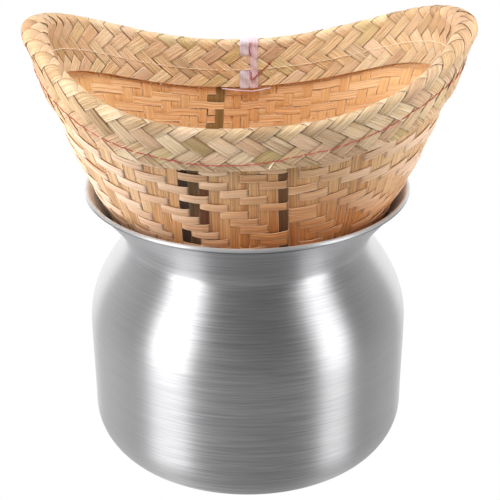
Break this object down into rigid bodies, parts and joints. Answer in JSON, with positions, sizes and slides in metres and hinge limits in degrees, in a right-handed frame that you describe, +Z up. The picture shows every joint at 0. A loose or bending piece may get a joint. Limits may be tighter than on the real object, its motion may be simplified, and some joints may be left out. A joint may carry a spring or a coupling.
{
  "type": "sticky rice steamer",
  "caption": "Spun aluminium pot with a narrow neck and a flared rim, and a boat-shaped woven bamboo basket that hangs in the neck to steam sticky rice.",
  "frame": {"origin": "middle of the pot's flat base, on the surface that it stands on", "axes": "+Z up along the pot's axis, +X to the basket's right tip, -Y to the front as pictured"},
  "size_m": [0.3101, 0.23, 0.3276],
  "materials": {
    "aluminium": "spun and brushed, fine rings round the axis",
    "bamboo_pale": "split bamboo, dry and satin, fine grain along each strip",
    "bamboo_dark": "dark split bamboo, satin, from black to olive",
    "plait_straw": "plaited flat bamboo strips, dry and matt",
    "thread_red": "twisted sewing thread",
    "thread_pale": "twisted sewing thread",
    "tape_pink": "thin translucent split film, satin"
  },
  "bodies": {
    "pot": {"pot_body": "aluminium"},
    "basket": {"wall_weavers": "bamboo_pale", "uprights_front_1": "bamboo_pale", "uprights_front_2": "bamboo_pale", "uprights_front_3": "bamboo_pale", "uprights_right_1": "bamboo_pale", "uprights_back_1": "bamboo_pale", "uprights_back_2": "bamboo_pale", "uprights_left_1": "bamboo_pale", "dark_upright_front_1": "bamboo_dark", "dark_upright_front_2": "bamboo_dark", "dark_upright_front_3": "bamboo_dark", "dark_upright_front_4": "bamboo_dark", "dark_upright_back_1": "bamboo_dark", "dark_upright_back_2": "bamboo_dark", "base_strips_lengthwise": "bamboo_pale", "base_strips_crosswise": "bamboo_pale", "rim_plait": "plait_straw", "stitch_thread_outer": "thread_red", "stitch_thread_inner": "thread_pale", "rim_tie_band_left": "tape_pink", "rim_tie_band_right": "tape_pink", "rim_tie_thread": "thread_red"}
  },
  "joints": [
    {"name": "basket_lift", "type": "slide", "parent": "pot", "child": "basket", "axis": [0, 0, 1], "range_m": [0, 0.25]}
  ]
}
